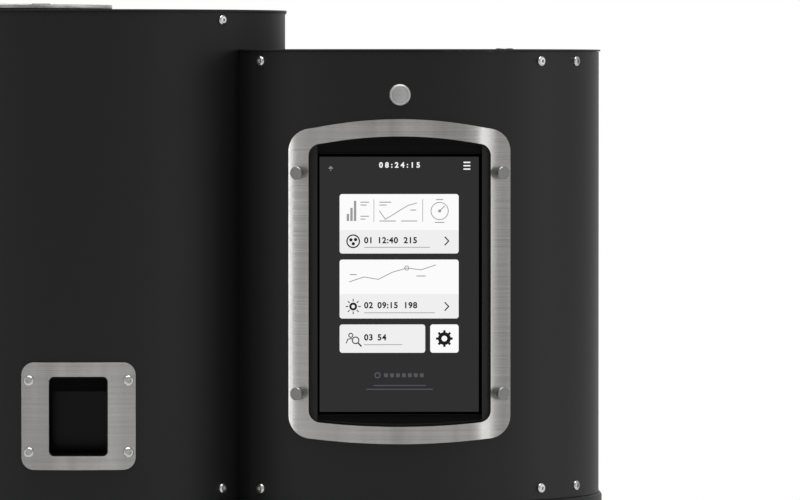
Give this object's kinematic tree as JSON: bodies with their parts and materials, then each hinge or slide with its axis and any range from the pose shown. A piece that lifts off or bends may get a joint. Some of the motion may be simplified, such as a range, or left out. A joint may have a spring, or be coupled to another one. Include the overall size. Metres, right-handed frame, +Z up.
{
  "type": "home coffee bean roaster",
  "caption": "Drum coffee roaster in two round-fronted sheet towers on one base, with a bean lid, sight window, touchscreen, cooling tray and chaff drawer.",
  "frame": {"origin": "middle of the footprint, on the surface that the rubber feet stand on", "axes": "+X to the right as seen from the front, +Y to the back, +Z up"},
  "size_m": [0.6272, 0.5296, 0.7708],
  "materials": {
    "powder_coat": "satin black textured powder coat",
    "brushed_stainless": "fine horizontal brushing",
    "drum_steel": "mill finish, heat dulled",
    "zinc_steel": "zinc plated sheet",
    "black_glass": "smooth cover glass over a display",
    "sight_glass": "clear heat-proof glass",
    "moulded_black": "fine spark-eroded mould grain",
    "rubber": "matt",
    "silicone": "matt",
    "cast_aluminium": "die cast",
    "circuit_board": "solder mask",
    "motor_black": "semi-gloss lacquer",
    "heater_sheath": "oxidised sheath"
  },
  "bodies": {
    "housing": {"base_shell": "powder_coat", "base_floor": "zinc_steel", "foot_1": "rubber", "foot_2": "rubber", "foot_3": "rubber", "foot_4": "rubber", "roaster_tower_shell": "powder_coat", "control_tower_shell": "powder_coat", "roaster_top_plate": "powder_coat", "control_top_plate": "powder_coat", "top_plug": "moulded_black", "rear_panel": "powder_coat", "window_frame": "brushed_stainless", "window_tunnel": "moulded_black", "window_glass": "sight_glass", "screen_bezel": "brushed_stainless", "screen_housing": "moulded_black", "touchscreen": "black_glass", "control_board": "circuit_board", "power_button_ring": "brushed_stainless", "inlet_gasket": "silicone", "lid_hinge_bracket": "brushed_stainless", "lid_hinge_pin": "brushed_stainless", "inlet_funnel": "brushed_stainless", "drum_front_plate": "drum_steel", "drum_rear_plate": "drum_steel", "drum_jacket": "zinc_steel", "front_bearing": "cast_aluminium", "rear_bearing": "cast_aluminium", "drive_belt": "rubber", "drum_motor": "motor_black", "heater": "heater_sheath", "discharge_chute": "drum_steel", "cooling_bay": "powder_coat", "cooling_tray": "brushed_stainless", "cooling_screen": "brushed_stainless", "stirrer_motor": "motor_black", "cooling_fan_duct": "moulded_black", "chaff_cyclone": "zinc_steel", "exhaust_duct": "zinc_steel", "blower_housing": "cast_aluminium", "blower_motor": "motor_black", "exhaust_collar": "zinc_steel", "power_supply": "zinc_steel", "mains_inlet": "moulded_black"},
    "lid": {"inlet_lid": "brushed_stainless"},
    "drum_rotor": {"drum": "drum_steel", "drum_vanes": "drum_steel", "drum_shaft": "drum_steel", "drum_pulley": "cast_aluminium"},
    "motor_rotor": {"motor_pulley": "cast_aluminium"},
    "power_button": {"power_button_cap": "brushed_stainless"},
    "bean_flap": {"discharge_flap": "drum_steel"},
    "stirring_arm": {"stirrer": "brushed_stainless"},
    "cooling_rotor": {"cooling_fan": "moulded_black"},
    "blower_rotor": {"blower_impeller": "moulded_black"},
    "gate": {"cooling_gate": "brushed_stainless"},
    "drawer": {"chaff_drawer": "zinc_steel", "chaff_drawer_front": "powder_coat", "chaff_drawer_handle": "brushed_stainless"}
  },
  "joints": [
    {"name": "inlet_lid_hinge", "type": "hinge", "parent": "housing", "child": "lid", "pos_m": [-0.195, 0.0507, 0.7678], "axis": [-1, 0, 0], "range_deg": [0, 100]},
    {"name": "drum_spin", "type": "hinge", "parent": "housing", "child": "drum_rotor", "pos_m": [-0.135, 0.0007, 0.505], "axis": [0, 1, 0], "continuous": true},
    {"name": "motor_spin", "type": "hinge", "parent": "housing", "child": "motor_rotor", "pos_m": [-0.035, 0.1417, 0.408], "axis": [0, 1, 0], "continuous": true},
    {"name": "power_button_press", "type": "slide", "parent": "housing", "child": "power_button", "axis": [0, 1, 0], "range_m": [0, 0.0015], "stiffness_N_per_m": 300},
    {"name": "discharge_flap_hinge", "type": "hinge", "parent": "housing", "child": "bean_flap", "pos_m": [-0.075, -0.0821, 0.446], "axis": [-1, 0, 0], "range_deg": [0, 55]},
    {"name": "stirrer_spin", "type": "hinge", "parent": "housing", "child": "stirring_arm", "pos_m": [-0.135, -0.1243, 0.2136], "axis": [0, 0, 1], "continuous": true},
    {"name": "cooling_fan_spin", "type": "hinge", "parent": "housing", "child": "cooling_rotor", "pos_m": [-0.135, -0.0673, 0.1512], "axis": [0, 0, 1], "continuous": true},
    {"name": "blower_spin", "type": "hinge", "parent": "housing", "child": "blower_rotor", "pos_m": [0.155, 0.1157, 0.6878], "axis": [0, 0, 1], "continuous": true},
    {"name": "cooling_gate_slide", "type": "slide", "parent": "housing", "child": "gate", "axis": [0, 0, 1], "range_m": [0, 0.034]},
    {"name": "chaff_drawer_slide", "type": "slide", "parent": "housing", "child": "drawer", "axis": [0, -1, 0], "range_m": [0, 0.2]}
  ],
  "couplings": [
    {"joint": "motor_spin", "follows": "drum_spin", "ratio": 3.3333}
  ]
}
